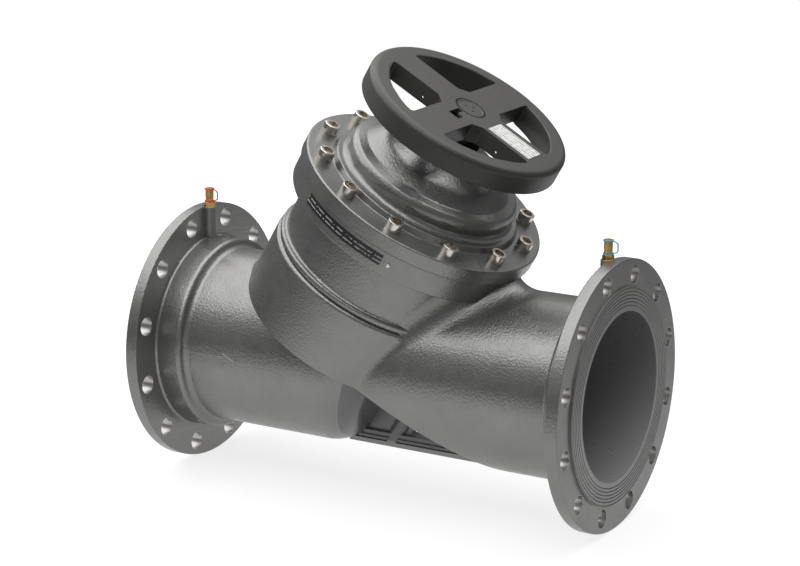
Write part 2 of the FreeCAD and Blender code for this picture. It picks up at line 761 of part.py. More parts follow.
def test_bore(label, x, top):
    """Flat on top of a boss and the drilling from it down into the pipe bore."""
    flat = cylinder(label + "_flat", S.washer_radius + 0.5, top, top + S.spot_face_depth)
    wide = cylinder(label + "_thread", S.nipple_thread_radius, top - S.nipple_thread_depth, top + 1)
    thin = cylinder(label + "_duct", S.nipple_thread_radius / 2, S.bore_radius - 10, top)
    for item in (flat, wide, thin):
        bind(item, "Placement.Base.x", x)
    doc.recompute()
    return fuse(label, [flat, wide, thin])


def on_rim(item, angle, radius, level):
    """Points an object that is drawn about +Z outwards from the branch axis."""
    outwards = FreeCAD.Rotation(Vector(0, 0, 1), angle.number).multiply(
        FreeCAD.Rotation(Vector(0, 1, 0), 90))
    lean = FreeCAD.Rotation(Vector(0, 1, 0), S.branch_lean.number)
    item.Placement.Rotation = lean.multiply(outwards)
    reach = radius * cosine(angle)
    bind(item, "Placement.Base.x",
         S.branch_x + level * sine(S.branch_lean) + reach * cosine(S.branch_lean))
    bind(item, "Placement.Base.y", radius * sine(angle))
    bind(item, "Placement.Base.z", level * cosine(S.branch_lean) - reach * sine(S.branch_lean))
    doc.recompute()
    return item


def seat_ring():
    low = S.deck_level - 2
    face_step = SEAT_FACE - 1.5
    return along_branch(turned("seat_ring", [
        (S.seat_bore_radius, low, 1),
        (S.seat_spigot_radius, low),
        (S.seat_spigot_radius, DECK_TOP),
        (S.seat_flange_radius, DECK_TOP),
        (S.seat_flange_radius, face_step, 1),
        (S.seat_bore_radius + 9, face_step),
        (S.seat_bore_radius + 7, SEAT_FACE),
        (S.seat_bore_radius + 3, SEAT_FACE),
        (S.seat_bore_radius, face_step - 2),
    ]))


def disc_retainer():
    """Throttle nose below the seal, with the seat ring's running space."""
    bottom = S.deck_level - 12
    nose = S.seat_bore_radius - 2
    seal_low = SEAT_FACE + S.joint_gap
    body = turned("disc_retainer", [
        (0, seal_low + 1),
        (0, bottom + 10),
        (20, bottom + 10, 5),
        (30, bottom, 6),
        (nose - 8, bottom, 3),
        (nose, SEAT_FACE - 6, 3),
        (nose, seal_low + 1),
    ])
    drill(body, "retainer_screw_hole", "XY_Plane", (S.retainer_circle_radius, 0), S.small_screw_radius
          + S.joint_gap, bottom - 1, seal_low + 2)
    hole = body.Tip
    drill(body, "retainer_screw_recess", "XY_Plane", (S.retainer_circle_radius, 0),
          S.small_head_radius + 1, bottom - 1, bottom + S.small_head_height + 2)
    repeat_round(body, "retainer_holes", [hole, body.Tip], S.retainer_screw_count)
    return along_branch(body)


def disc_seal():
    seal_low = SEAT_FACE + S.joint_gap
    disc_low = seal_low + S.seal_thickness
    inner = S.seat_bore_radius - 2 + S.joint_gap
    return along_branch(turned("disc_seal", [
        (inner, seal_low),
        (S.seat_bore_radius + 12, seal_low, 1),
        (S.seat_bore_radius + 12, disc_low),
        (inner, disc_low),
    ]))


DISC_LOW = SEAT_FACE + S.joint_gap + S.seal_thickness
STEM_END = DISC_LOW + 87
NUT_TOP = S.hub_top_level - 4


def throttle_disc():
    """Disc, rim round the seal, spoked ribs and the long guided hub."""
    seal_outer = S.seat_bore_radius + 12
    bore = S.stem_radius + 3
    body = turned("throttle_disc", [
        (0, DISC_LOW - S.seal_thickness + 1.3),
        (S.seat_bore_radius - 2, DISC_LOW - S.seal_thickness + 1.3),
        (S.seat_bore_radius - 2, DISC_LOW),
        (seal_outer + S.joint_gap, DISC_LOW),
        (seal_outer + S.joint_gap, DISC_LOW - 4),
        (S.disc_radius, DISC_LOW - 4, 2),
        (S.disc_radius, DISC_LOW + 12, 3),
        (56, DISC_LOW + 16, 6),
        (S.hub_radius, DISC_LOW + 24, 6),
        (S.hub_radius, S.hub_top_level, 1),
        (S.stem_radius + 15, S.hub_top_level),
        (S.stem_radius + 15, NUT_TOP - 4),
        (S.stem_radius + 11, NUT_TOP - 4),
        (S.stem_radius + 11, STEM_END - 6),
        (bore, STEM_END - 6),
        (bore, DISC_LOW + 12),
        (0, DISC_LOW + 12),
    ])
    drill(body, "retainer_thread", "XY_Plane", (S.retainer_circle_radius, 0), S.small_screw_radius,
          DISC_LOW - S.seal_thickness, DISC_LOW + 12)
    repeat_round(body, "retainer_threads", [body.Tip], S.retainer_screw_count)
    half_key = S.key_width / 2
    extrude(body, "key_seat", "XY_Plane", [
        (-half_key, S.hub_radius - 5),
        (half_key, S.hub_radius - 5),
        (half_key, S.hub_radius + 5),
        (-half_key, S.hub_radius + 5),
    ], S.hub_top_level - 45, S.hub_top_level - 5, "PartDesign::Pocket")
    return along_branch(body)


def retainer_screws():
    """Socket screws that hold the seal between nose and disc."""
    body = many(new_body("retainer_screws"))
    head_low = S.deck_level - 12 + 1.5
    seat = S.deck_level - 12 + S.small_head_height + 2
    centre = S.retainer_circle_radius
    socket_screw(body, centre, seat, seat - head_low, S.small_head_radius, S.small_screw_radius,
                 DISC_LOW + 10 - seat, S.small_hex_across, -1)
    repeat_round(body, "retainer_screw_circle", body_features(body), S.retainer_screw_count)
    return along_branch(body)


def body_features(body):
    """The shape features of a body, without its sketches."""
    return [item for item in body.Group if item.isDerivedFrom("PartDesign::Feature")]


def hexagon(centre, across):
    """Corners of a hexagon with this distance between its flats."""
    half = across / 2
    side = across / (math.sqrt(3) * 2)
    return [
        (centre + half, side), (centre, side * 2), (centre - half, side),
        (centre - half, -side), (centre, side * -2), (centre + half, -side),
    ]


def socket_screw(body, centre, seat, head_height, head_radius, shank_radius, length, across, facing):
    """Socket head screw about an axis parallel to +Z, its head on the side that facing gives."""
    head_end = seat + head_height * facing
    shank_end = seat - length * facing
    rim = 1.2
    outline = [
        (centre, shank_end),
        (centre + shank_radius, shank_end, 1),
        (centre + shank_radius, seat),
        (centre + head_radius, seat),
        (centre + head_radius, head_end, rim),
        (centre, head_end),
    ]
    sketch = sketch_on(body, "screw_outline", "XZ_Plane", outline)
    axis = sketch.addGeometry(Part.LineSegment(Vector(centre.number, shank_end.number, 0),
                                               Vector(centre.number, head_end.number, 0)), True)
    sketch.addConstraint(Sketcher.Constraint("Vertical", axis))
    fix_point_end(sketch, axis, 1, centre, shank_end)
    fix_point_end(sketch, axis, 2, None, head_end)
    form = body.newObject("PartDesign::Revolution", "screw_turned")
    form.Profile = sketch
    number = sum(1 for item in range(axis) if sketch.getConstruction(item)
                 and isinstance(sketch.Geometry[item], Part.LineSegment))
    form.ReferenceAxis = (sketch, [f"Axis{number}"])
    form.Angle = 360
    doc.recompute()
    depth = head_height * 0.6
    low, high = (head_end - depth, head_end + 1) if facing > 0 else (head_end - 1, head_end + depth)
    extrude(body, "hex_socket", "XY_Plane", hexagon(centre, across), low, high, "PartDesign::Pocket")


def fix_point_end(sketch, item, end, x, y):
    for kind, size in (("DistanceX", x), ("DistanceY", y)):
        if size is None:
            continue
        index = sketch.addConstraint(Sketcher.Constraint(kind, -1, 1, item, end, size.number))
        if "Sizes" in size.text:
            bind(sketch, f"Constraints[{index}]", size)


def bonnet_screws():
    body = many(new_body("bonnet_screws"))
    socket_screw(body, S.screw_circle_radius, BONNET_TOP, S.screw_head_height, S.screw_head_radius,
                 S.screw_radius, S.screw_length, S.hex_across, 1)
    repeat_round(body, "bonnet_screw_circle", body_features(body), S.screw_count)
    return tilted(body, as_size(180) / S.screw_count)


def bonnet_gasket():
    body = turned("bonnet_gasket", [
        (S.chamber_radius + 2, BODY_TOP),
        (S.body_flange_radius - 2, BODY_TOP),
        (S.body_flange_radius - 2, S.joint_level),
        (S.chamber_radius + 2, S.joint_level),
    ])
    drill(body, "gasket_screw_hole", "XY_Plane", (S.screw_circle_radius, 0), S.screw_radius + 1,
          BODY_TOP - 1, S.joint_level + 1)
    repeat_round(body, "gasket_screw_holes", [body.Tip], S.screw_count)
    return tilted(body, as_size(180) / S.screw_count)


GUIDE_RADIUS = S.hub_radius + S.running_gap
COLLAR_TOP = S.collar_level + S.collar_height
THRUST_LOW = S.collar_level - S.thrust_washer
THRUST_TOP = COLLAR_TOP + S.thrust_washer


def bonnet():
    """Bonnet flange, dome and neck, with the tube that guides the disc hub."""
    tube = S.hub_radius + 12
    tube_low = S.hub_top_level - 37
    spigot = S.chamber_radius - S.joint_gap
    top = BONNET_TOP
    body = turned("bonnet", [
        (GUIDE_RADIUS, tube_low, 1),
        (tube, tube_low, 1),
        (tube, S.collar_level + 3, 8),
        (84, S.collar_level - 4, 14),
        (104, S.joint_level + 58, 8),
        (119, S.joint_level + 54, 8),
        (119, S.joint_level + 18, 6),
        (spigot - 11, S.joint_level + 10, 6),
        (spigot - 11, S.joint_level - 22, 1),
        (spigot, S.joint_level - 22, 1.5),
        (spigot, S.joint_level),
        (S.bonnet_flange_radius, S.joint_level, 1),
        (S.bonnet_flange_radius, top, 2.5),
        (149, top, 2),
        (146, top + 10.3, 2),
        (138, top + 10.3, 3),
        (129.5, top + 14, 8),
        (134, top + 32, 16),
        (129, top + 42, 5),
        (114, top + 45, 4),
        (94, top + 66, 26),
        (62, top + 80, 16),
        (46, top + 83, 5),
        (S.bonnet_neck_radius, S.neck_top_level, 1),
        (S.gland_radius, S.neck_top_level),
        (S.gland_radius, THRUST_LOW),
        (S.stem_radius + 0.5, THRUST_LOW),
        (S.stem_radius + 0.5, THRUST_LOW - 12),
        (GUIDE_RADIUS, THRUST_LOW - 12),
    ])
    half_key = S.key_width / 2 + S.running_gap
    extrude(body, "guide_keyway", "XY_Plane", [
        (-half_key, S.hub_radius - 8),
        (half_key, S.hub_radius - 8),
        (half_key, S.hub_radius + 5),
        (-half_key, S.hub_radius + 5),
    ], tube_low - 1, THRUST_LOW - 14, "PartDesign::Pocket")
    step = as_size(180) / S.screw_count
    x = S.screw_circle_radius * cosine(step)
    y = S.screw_circle_radius * sine(step)
    drill(body, "bonnet_screw_hole", "XY_Plane", (x, y), S.screw_radius + 1, S.joint_level - 1,
          BONNET_TOP + 1)
    repeat_round(body, "bonnet_screw_holes", [body.Tip], S.screw_count)
    return along_branch(body)


def stem():
    """Threaded stem with its thrust collar and square top."""
    top = S.stem_top_radius
    gland_top = S.neck_top_level + S.gland_flange
    body = turned("stem", [
        (0, STEM_END),
        (S.stem_radius, STEM_END, 2),
        (S.stem_radius, S.collar_level),
        (S.collar_radius, S.collar_level, 0.8),
        (S.collar_radius, COLLAR_TOP, 0.8),
        (top, COLLAR_TOP),
        (top, gland_top + 4, 0.8),
        (0, gland_top + 4),
    ])
    half = S.stem_square / 2
    extrude(body, "stem_square", "XY_Plane", [
        (-half, -half, 2), (half, -half, 2), (half, half, 2), (-half, half, 2),
    ], gland_top + 4, S.stem_top_level)
    drill(body, "stem_thread", "XY_Plane", (0, 0), S.wheel_screw_radius, S.stem_top_level - 26,
          S.stem_top_level + 1)
    return along_branch(body)


def plain_ring(label, inner, outer, low, high, edge=0.4):
    return along_branch(turned(label, [
        (inner, low), (outer, low, edge), (outer, high, edge), (inner, high)]))


def thrust_washers():
    inner = S.stem_radius + 0.3
    outer = S.gland_radius - S.joint_gap
    return [
        plain_ring("lower_thrust_washer", inner, outer, THRUST_LOW, S.collar_level),
        plain_ring("upper_thrust_washer", S.stem_top_radius + 0.3, outer, COLLAR_TOP, THRUST_TOP),
    ]


def stem_gland():
    """Screwed gland that holds the collar down and carries the stem seals."""
    inner = S.stem_top_radius + S.running_gap
    groove = inner + S.ring_section - 0.2
    first = THRUST_TOP + 6
    second = first + S.ring_section + 5
    neck = S.neck_top_level
    body = turned("stem_gland", [
        (inner, THRUST_TOP, 0.5),
        (S.gland_radius - 0.3, THRUST_TOP, 1),
        (S.gland_radius - 0.3, neck),
        (S.bonnet_neck_radius - 2, neck),
        (S.bonnet_neck_radius - 2, neck + S.gland_flange, 1.5),
        (inner, neck + S.gland_flange, 0.5),
        (inner, second + S.ring_section),
        (groove, second + S.ring_section),
        (groove, second),
        (inner, second),
        (inner, first + S.ring_section),
        (groove, first + S.ring_section),
        (groove, first),
        (inner, first),
    ])
    slot_far = S.bonnet_neck_radius
    extrude(body, "spanner_slot", "XY_Plane", [
        (S.bonnet_neck_radius - 7, -4), (slot_far, -4), (slot_far, 4), (S.bonnet_neck_radius - 7, 4),
    ], neck + 4, neck + S.gland_flange + 1, "PartDesign::Pocket")
    repeat_round(body, "spanner_slots", [body.Tip], as_size(4))
    return along_branch(body)


def stem_o_rings():
    """Two rings in the gland's grooves round the stem."""
    section = S.ring_section / 2 - 0.2
    centre = S.stem_top_radius + S.running_gap + section
    levels = [THRUST_TOP + 6, THRUST_TOP + 6 + S.ring_section + 5]
    rings = []
    for number, level in enumerate(levels, start=1):
        ring = doc.addObject("Part::Torus", f"o_ring_{number}")
        bind(ring, "Radius1", centre)
        bind(ring, "Radius2", section)
        along_branch(ring)
        middle = level + S.ring_section / 2
        bind(ring, "Placement.Base.x", S.branch_x + middle * sine(S.branch_lean))
        bind(ring, "Placement.Base.z", middle * cosine(S.branch_lean))
        rings.append(ring)
    group = doc.addObject("Part::Compound", "stem_o_rings")
    group.Links = rings
    doc.recompute()
    return group


def stem_nut():
    """Threaded bush, screwed into the top of the hub."""
    inner = S.stem_radius + S.running_gap
    return along_branch(turned("stem_nut", [
        (inner, STEM_END - 6, 1),
        (S.stem_radius + 11, STEM_END - 6, 1),
        (S.stem_radius + 11, NUT_TOP - 4),
        (S.stem_radius + 15, NUT_TOP - 4),
        (S.stem_radius + 15, NUT_TOP + 2, 1),
        (inner, NUT_TOP + 2, 1),
    ]))


def guide_key():
    half = S.key_width / 2
    body = new_body("guide_key")
    extrude(body, "key_bar", "XY_Plane", [
        (-half, S.hub_radius - 5, 0.5),
        (half, S.hub_radius - 5, 0.5),
        (half, S.hub_radius + 4, 0.5),
        (-half, S.hub_radius + 4, 0.5),
    ], S.hub_top_level - 45, S.hub_top_level - 5)
    return along_branch(body)


WHEEL_TOP = S.wheel_top_level
WHEEL_SPACE = S.wheel_top_level - S.wheel_plate


def handwheel():
    """Moulded wheel: rim channel, four hollow spokes, windows and a hub on the stem's square."""
    rim_edge = 9
    hub_low = S.neck_top_level + S.gland_flange + 4
    outer = S.wheel_radius
    inner = S.rim_inner_radius
    wall = S.wheel_wall
    low = S.wheel_bottom_level
    deep = low + 9
    body = turned("handwheel", [
        (0, deep),
        (inner, deep),
        (inner + 2, low, 2),
        (inner + wall, low),
        (inner + wall + 2, WHEEL_SPACE, 4),
        (outer - wall - 2, WHEEL_SPACE, 6),
        (outer - wall, low + 1),
        (outer, low + 1, 1.5),
        (outer, WHEEL_TOP, rim_edge),
        (0, WHEEL_TOP),
    ])
    half = S.spoke_half_width
    middle = S.wheel_centre_radius
    # One window: two sides along the spokes, a cut inner corner and an outer arc
    near = inner * 0.707
    extrude(body, "wheel_window", "XY_Plane", [
        (half, middle * 0.84, 3),
        (middle * 0.84, half, 3),
        (inner * 0.9757, half + 0.5, 5),
        (inner * 0.9239 + 1.6, inner * 0.3827 + 0.6, 12),
        (near * 1.02, near * 1.02, 30),
        (inner * 0.3827 + 0.6, inner * 0.9239 + 1.6, 12),
        (half + 0.5, inner * 0.9757, 5),
    ], low - 1, WHEEL_TOP + 1, "PartDesign::Pocket")
    repeat_round(body, "wheel_windows", [body.Tip], as_size(4))
    spoke = half - wall
    extrude(body, "spoke_hollow", "XY_Plane", [
        (24, -spoke, 2), (inner - wall, -spoke, 2), (inner - wall, spoke, 2), (24, spoke, 2),
    ], low - 1, WHEEL_SPACE, "PartDesign::Pocket")
    repeat_round(body, "spoke_hollows", [body.Tip], as_size(4))
    drill(body, "hub_hollow", "XY_Plane", (0, 0), S.dial_radius + 1.5, low - 1, WHEEL_SPACE)
    ring = sketch_on(body, "wheel_hub_outline", "XZ_Plane", [
        (0, hub_low), (S.wheel_hub_radius, hub_low, 1), (S.wheel_hub_radius, WHEEL_SPACE + 0.5),
        (0, WHEEL_SPACE + 0.5)])
    hub = body.newObject("PartDesign::Revolution", "wheel_hub")
    hub.Profile = ring
    hub.ReferenceAxis = (ring, ["V_Axis"])
    hub.Angle = 360
    doc.recompute()
    square = S.stem_square / 2 + S.running_gap
    extrude(body, "wheel_square", "XY_Plane", [
        (-square, -square), (square, -square), (square, square), (-square, square),
    ], hub_low - 1, S.stem_top_level + 0.3, "PartDesign::Pocket")
    drill(body, "wheel_screw_hole", "XY_Plane", (0, 0), S.wheel_screw_radius + 0.5,
          S.stem_top_level, WHEEL_TOP + 1)
    drill(body, "wheel_screw_recess", "XY_Plane", (0, 0), S.cap_radius - 10, S.stem_top_level + 5,
          WHEEL_TOP + 1)
    drill(body, "wheel_cap_recess", "XY_Plane", (0, 0), S.cap_radius, WHEEL_TOP - 3, WHEEL_TOP + 1)
    for name, reach in (("wire_hole_far", as_size(75)), ("wire_hole_near", as_size(-63))):
        drill(body, name, "XZ_Plane", (reach, S.wire_hole_level), S.wire_hole_radius,
              -S.spoke_half_width - 1, S.spoke_half_width + 1)
    extrude(body, "dial_window", "XY_Plane", [
        (-7, -54, 1), (11, -54, 1), (11, -40, 1), (1, -40, 1), (1, -S.cap_radius - 1, 1),
        (-7, -S.cap_radius - 1, 1),
    ], WHEEL_SPACE - 1, WHEEL_TOP + 1, "PartDesign::Pocket")
    return along_branch(body)


def handwheel_fixing():
    top = S.stem_top_level
    plate_low = top + 5
    washer = plain_ring("handwheel_washer", S.wheel_screw_radius + 0.4, S.cap_radius - 11, plate_low,
                        plate_low + 2)
    screw = many(new_body("handwheel_screw"))
    socket_screw(screw, ZERO, plate_low + 2, as_size(7), S.wheel_screw_radius * 1.8,
                 S.wheel_screw_radius, as_size(28), S.small_hex_across + 2, 1)
    along_branch(screw)
    cap = turned("handwheel_cap", [
        (0, WHEEL_TOP - 3),
        (S.cap_radius - 0.3, WHEEL_TOP - 3),
        (S.cap_radius - 0.3, WHEEL_TOP, 0.6),
        (S.cap_radius - 4, WHEEL_TOP, 0.4),
        (S.cap_radius - 5, WHEEL_TOP - 0.8, 0.4),
        (0, WHEEL_TOP - 0.8),
    ])
    for number, (x, y) in enumerate(((7, -3), (-7, -3), (0, 8)), start=1):
        drill(cap, f"cap_hole_{number}", "XY_Plane", (x, y), as_size(1.5), WHEEL_TOP - 4, WHEEL_TOP)
    along_branch(cap)
    return [washer, screw, cap]


def dials():
    """Fixed tenths dial on the gland and the slow turns dial above it."""
    inner = S.wheel_hub_radius + 0.3
    base = S.neck_top_level + S.gland_flange
    dial = S.dial_radius
    level = S.dial_level
    tenths = turned("tenths_dial", [
        (inner, base), (inner + 3, base), (inner + 3, level, 1), (dial, level, 0.5),
        (dial, level + 2, 0.5), (inner + 3, level + 2), (inner + 3, level + 7), (inner, level + 7)])
    along_branch(tenths)
    turns_low = level + 2.4
    turns = turned("turns_dial", [
        (inner + 3 + S.running_gap, turns_low), (dial - 6, turns_low, 0.5),
        (dial - 6, turns_low + 2.5, 0.5), (inner + 3 + S.running_gap, turns_low + 2.5)])
    along_branch(turns)
    return [tenths, turns]


def curved_plate(label, radius, start, end, low, high, thickness):
    """Thin plate bent round the branch between two angles."""
    parts = []
    for name, size in (("inner", radius), ("outer", radius + thickness)):
        item = doc.addObject("Part::Cylinder", f"{label}_{name}")
        bind(item, "Radius", size)
        bind(item, "Height", high - low)
        bind(item, "Angle", end - start)
        along_branch(item)
        item.setExpression("Placement.Rotation.Angle", None)
        item.Placement.Rotation = item.Placement.Rotation.multiply(
            FreeCAD.Rotation(Vector(0, 0, 1), start.number))
        bind(item, "Placement.Base.x", S.branch_x + low * sine(S.branch_lean))
        bind(item, "Placement.Base.z", low * cosine(S.branch_lean))
        parts.append(item)
    doc.recompute()
    return cut(label, parts[1], parts[0])


def handwheel_label():
    body = new_body("handwheel_label")
    extrude(body, "label_sheet", "XY_Plane", [
        (46, -21, 1), (121, -21, 1), (121, 16, 1), (46, 16, 1)],
        WHEEL_TOP, WHEEL_TOP + S.plate_thickness)
    return along_branch(body)


def nameplate():
    return curved_plate("nameplate", S.body_flange_radius + S.joint_gap, S.plate_start, S.plate_end,
                        S.plate_bottom_level, S.plate_bottom_level + S.plate_height, S.plate_thickness)


def nameplate_rivet():
    shank = S.rivet_radius
    head = shank * 1.7
    body = turned("nameplate_rivet", [
        (0, -S.rivet_length),
        (shank, -S.rivet_length, 0.4),
        (shank, S.joint_gap),
        (head, S.joint_gap),
        (head, S.joint_gap + 0.8, 0.6),
        (head - 1.2, S.joint_gap + 1.7, 0.8),
        (0, S.joint_gap + 1.7),
    ])
    return on_rim(body, S.rivet_angle, S.body_flange_radius, S.rivet_level)


def upright(label, x, corners):
    body = turned(label, corners)
    bind(body, "Placement.Base.x", x)
    body.Placement.Base.x = x.number
    return body


def test_point(side, x, top):
    """Measuring nipple with its seal, valve insert, cap and cap strap."""
    nipple_top = top + S.nipple_height
    cap_top = nipple_top + S.cap_height
    seal_top = top + S.washer_thickness
    thread = S.nipple_thread_radius
    neck = S.nipple_radius - 2.2
    hex_top = seal_top + 6
    seal = upright(f"{side}_test_seal", x, [
        (thread + 0.2, top), (S.washer_radius, top, 0.3), (S.washer_radius, seal_top, 0.3),
        (thread + 0.2, seal_top)])
    nipple = upright(f"{side}_test_nipple", x, [
        (1.2, top - S.nipple_thread_depth + 1),
        (thread - 0.05, top - S.nipple_thread_depth + 1, 0.5),
        (thread - 0.05, seal_top),
        (S.nipple_radius + 0.4, seal_top),
        (S.nipple_radius + 0.4, hex_top),
        (S.nipple_radius - 0.5, hex_top + 0.5, 0.4),
        (S.nipple_radius - 0.5, nipple_top - 2),
        (neck, nipple_top - 2),
        (neck, nipple_top + 6, 0.6),
        (3.2, nipple_top + 6, 0.3),
        (3.2, nipple_top - 2),
        (1.2, nipple_top - 2),
    ])
    extrude(nipple, f"{side}_nipple_hexagon", "XY_Plane", hexagon(ZERO, (S.nipple_radius + 1) * 2),
            seal_top, hex_top)
    drill(nipple, f"{side}_nipple_duct", "XY_Plane", (0, 0), as_size(1.2), seal_top - 1, hex_top + 1)
    septum = upright(f"{side}_test_septum", x, [
        (0.4, nipple_top - 2), (3.2, nipple_top - 2), (3.2, nipple_top + 5), (0.4, nipple_top + 5)])
    cap = upright(f"{side}_test_cap", x, [
        (0, nipple_top + 8),
        (neck + S.running_gap, nipple_top + 8),
        (neck + S.running_gap, nipple_top - 1.6),
        (S.nipple_radius - 0.2, nipple_top - 1.6, 0.5),
        (S.nipple_radius - 0.2, cap_top - 3, 0.3),
        (S.nipple_radius - 1.4, cap_top - 2.6, 0.3),
        (S.nipple_radius - 1.4, cap_top - 1.2, 0.3),
        (S.nipple_radius - 0.6, cap_top - 0.8, 0.3),
        (S.nipple_radius - 0.6, cap_top, 0.3),
        (0, cap_top),
    ])
    return [seal, nipple, septum, cap, test_strap(side, x, seal_top + 7.5, cap_top - 2)]


def test_strap(side, x, low, high):
    """Plastic strap: a ring round the nipple, a ring round the cap and the loop between."""
    body = upright(f"{side}_test_strap", x, [
        (S.nipple_radius, low), (S.nipple_radius + 1.4, low, 0.3),
        (S.nipple_radius + 1.4, low + 1.6, 0.3), (S.nipple_radius, low + 1.6)])
    half = as_size(0.8)
    extrude(body, "strap_loop", "XZ_Plane", [
        (S.nipple_radius + 0.7, low + 0.1),
        (S.nipple_radius + 9, low + 4, 4),
        (S.nipple_radius + 9, high - 2, 4),
        (S.nipple_radius + 0.1, high + 1.4),
        (S.nipple_radius + 0.1, high),
        (S.nipple_radius + 7.6, high - 3, 3),
        (S.nipple_radius + 7.6, low + 5, 3),
        (S.nipple_radius + 0.7, low + 1.5),
    ], -half, half)
    ring = sketch_on(body, "strap_ring_outline", "XZ_Plane", [
        (S.nipple_radius - 0.1, high), (S.nipple_radius + 1.2, high), (S.nipple_radius + 1.2, high + 1.4),
        (S.nipple_radius - 0.1, high + 1.4)])
    upper = body.newObject("PartDesign::Revolution", "strap_ring")
    upper.Profile = ring
    upper.ReferenceAxis = (ring, ["V_Axis"])
    upper.Angle = 360
    doc.recompute()
    return body


PIECES = [
    valve_body(), seat_ring(), disc_retainer(), disc_seal(), throttle_disc(), retainer_screws(),
    bonnet_screws(), bonnet_gasket(), bonnet(), stem(), *thrust_washers(), stem_gland(),
    stem_o_rings(), stem_nut(), guide_key(), handwheel(), *handwheel_fixing(), *dials(),
    handwheel_label(), nameplate(), nameplate_rivet(),
    *test_point("inlet", S.flange_thickness + S.boss_stand_off, S.inlet_boss_top),
    *test_point("outlet", S.face_to_face - S.flange_thickness - S.boss_stand_off, S.outlet_boss_top),
]

doc.recompute()
for item in doc.Objects:
    if {"Invalid", "Error"} & set(item.State):
        raise RuntimeError(f"{item.Label} did not compute: {item.State}")

os.makedirs("parts", exist_ok=True)
for piece in PIECES:
    if piece.Shape.isNull() or not piece.Shape.isValid():
        raise RuntimeError(f"{piece.Label} has no valid shape")
    piece.Shape.exportStep(f"parts/{piece.Label}.step")
    print(piece.Label, len(piece.Shape.Solids), round(piece.Shape.Volume, 1))
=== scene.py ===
import math

import bmesh
import bpy
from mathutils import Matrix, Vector


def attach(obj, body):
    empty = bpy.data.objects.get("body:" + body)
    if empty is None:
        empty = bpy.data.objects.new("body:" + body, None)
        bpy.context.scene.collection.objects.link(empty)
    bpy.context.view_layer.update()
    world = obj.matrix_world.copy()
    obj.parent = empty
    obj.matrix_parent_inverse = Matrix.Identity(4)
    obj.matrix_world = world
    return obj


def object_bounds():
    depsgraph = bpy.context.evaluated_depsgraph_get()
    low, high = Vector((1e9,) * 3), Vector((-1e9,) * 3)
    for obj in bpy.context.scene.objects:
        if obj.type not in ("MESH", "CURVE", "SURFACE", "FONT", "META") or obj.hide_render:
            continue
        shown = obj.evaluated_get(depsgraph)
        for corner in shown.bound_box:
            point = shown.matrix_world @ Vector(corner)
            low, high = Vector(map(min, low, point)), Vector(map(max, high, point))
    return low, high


# Looks of the balancing valve in metres: materials, window lips, studio and camera

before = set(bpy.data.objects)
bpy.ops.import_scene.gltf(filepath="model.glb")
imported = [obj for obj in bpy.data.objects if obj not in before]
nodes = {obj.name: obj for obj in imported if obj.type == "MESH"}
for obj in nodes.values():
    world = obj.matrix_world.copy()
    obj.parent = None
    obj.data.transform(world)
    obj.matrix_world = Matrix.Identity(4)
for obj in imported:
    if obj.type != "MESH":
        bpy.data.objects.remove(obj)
cad_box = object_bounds()

# Directions
ALONG = Vector((1, 0, 0))
SIDEWAYS = Vector((0, 1, 0))
UP = Vector((0, 0, 1))
BRANCH_LEAN = math.radians(30)
BRANCH_UP = Vector((math.sin(BRANCH_LEAN), 0, math.cos(BRANCH_LEAN)))
BRANCH_SIDE = Vector((math.cos(BRANCH_LEAN), 0, -math.sin(BRANCH_LEAN)))
BRANCH_START = Vector((0.254, 0, 0))

# Pipe ends
FACE_TO_FACE = cad_box[1][0] - cad_box[0][0]
FACE_DEPTH = 0.0038
BORE_RADIUS = 0.125
BORE_MARGIN = 0.001
BOLT_CIRCLE = 0.1775
BOLT_HOLE = 0.014
HOLE_MARGIN = 0.0004
HOLE_REACH = 0.035
BOLT_STEP = math.radians(30)
# Raised-face grooves, painted darker as painted shade that deepens with depth: radii, depths and shading
# depths
GROOVED_RADII = (0.131, 0.159)
GROOVE_DEPTHS = (0.0001, 0.0012)
GROOVE_SHADING = (0.0001, 0.0008)

# Sides of the flow arrow, painted lighter as a painted highlight: distance from the pipe's axis, along the
# pipe and in height
ARROW_RADII = (0.1347, 0.1373)
ARROW_ENDS = (0.083, 0.160)
ARROW_EDGES = (-0.012, 0.012)

# Handwheel windows, cap and printed plates
WINDOW_LOW = 0.422
WINDOW_TOP = 0.4579
WINDOW_REACH = 0.1290
LIP_WIDTH = 0.0048
LIP_ROUNDING = 0.0016
LIP_SPREAD = math.radians(33.5)
LIP_STEPS = 40
LIP_EDGE_STEPS = 6
LIP_SHARP = math.radians(40)
CAP_RING = (0.0213, 0.0240)
LABEL_MIDDLE = SIDEWAYS * -0.0025
LABEL_PITCH = 0.0075
LABEL_LINES = (-0.0160, 0.0160)
PLATE_MIDDLE = BRANCH_START + BRANCH_UP * 0.2647
PLATE_PITCH = 0.0062
PLATE_LINES = (-0.0020, 0.0085)
LINE_SHARE = 0.30

# Paint of the castings: lump sizes and depths of its skin
PAINT = (0.225, 0.225, 0.221, 1)
PAINT_METAL = 0.78
# Duller coat in the bore, its colour made lighter as painted light for the light that reaches inside the
# bore
BORE_COAT_PAINTED_LIGHT = (0.30, 0.30, 0.30, 1)
BORE_METAL = 0.10
BARE_IRON = (0.46, 0.45, 0.44, 1)
CLOUD_SIZE = 0.11
SHINE_SIZE = 0.018
PAINT_ROUGHNESS = (0.27, 0.35)
CLOUD_TONE = 1.12
# Painted shade in the raised-face grooves: its tone and how strongly it darkens
GROOVE_SHADE_TONE = 0.12
GROOVE_SHADE_STRENGTH = (0.35, 0.85)
# Painted highlight on the sides of the flow arrow
ARROW_HIGHLIGHT_TONE = 2.2
FACE_DULLNESS = 0.12
WAVE_SIZE = 0.030
WAVE_DEPTH = 0.0002
PEEL_SIZE = 0.0033
PEEL_DEPTH = 0.00044
SMOOTH_SKIN = 0.03
CAST_EDGE = 0.0009
EDGE_SAMPLES = 4

